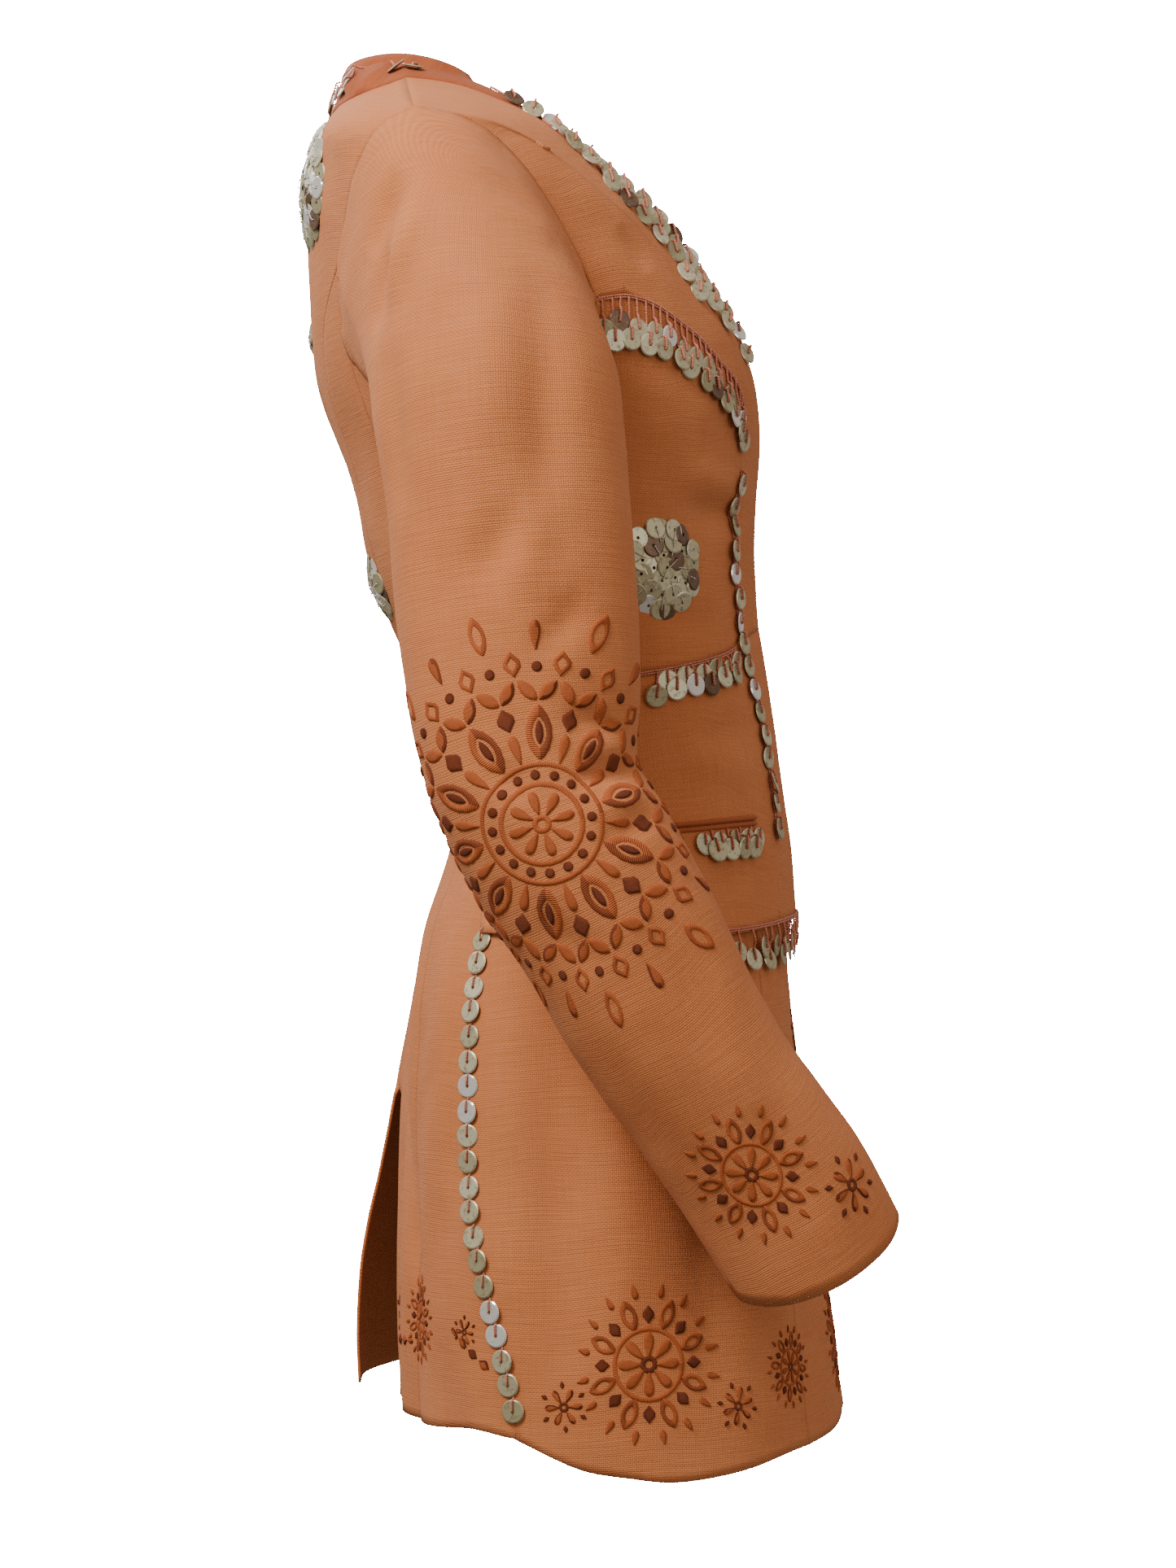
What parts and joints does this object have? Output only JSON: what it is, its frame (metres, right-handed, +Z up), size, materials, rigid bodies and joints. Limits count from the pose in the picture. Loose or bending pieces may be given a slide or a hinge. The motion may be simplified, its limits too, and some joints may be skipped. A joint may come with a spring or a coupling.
{
  "type": "blazer",
  "caption": "Fitted thigh-length blazer in its worn, hollow shape, with bent sleeves, a V neck, a peplum tier over the skirt, a back vent, and seams trimmed with corded metal discs.",
  "frame": {"origin": "the middle of the neck opening, level with the points where the shoulders meet the neck", "axes": "+Z up; the front of the jacket faces -Y; the wearer's right side is at -X"},
  "size_m": [0.5576, 0.3102, 0.7364],
  "materials": {
    "woven_cloth": "coarse woven, matt",
    "collar_cloth": "woven, matt",
    "corded_trim": "twisted cord",
    "metal_discs": "aged, pale"
  },
  "bodies": {
    "root": {"front_right": "woven_cloth", "front_left": "woven_cloth", "bodice_right": "woven_cloth", "bodice_left": "woven_cloth", "tier_right": "woven_cloth", "tier_left": "woven_cloth", "skirt_front_right": "woven_cloth", "skirt_front_left": "woven_cloth", "skirt_side_right": "woven_cloth", "skirt_side_left": "woven_cloth", "side_back_right": "woven_cloth", "side_back_left": "woven_cloth", "back_right": "woven_cloth", "back_left": "woven_cloth", "sleeve_right": "woven_cloth", "sleeve_left": "woven_cloth", "collar": "collar_cloth", "collar_discs": "metal_discs", "front_discs_right": "metal_discs", "front_discs_left": "metal_discs", "side_discs_right": "metal_discs", "side_discs_left": "metal_discs", "rosette_bodice_right": "metal_discs", "rosette_bodice_left": "metal_discs", "rosette_shoulder_right": "metal_discs", "rosette_shoulder_left": "metal_discs", "rosette_back_waist_right": "metal_discs", "rosette_back_waist_left": "metal_discs", "rosette_mid_back": "metal_discs", "bust_fringe_right": "corded_trim", "bust_fringe_left": "corded_trim", "waist_fringe_right": "corded_trim", "waist_fringe_left": "corded_trim", "tier_fringe_right": "corded_trim", "tier_fringe_left": "corded_trim", "pocket_welt_right": "corded_trim", "pocket_welt_left": "corded_trim"}
  },
  "joints": []
}
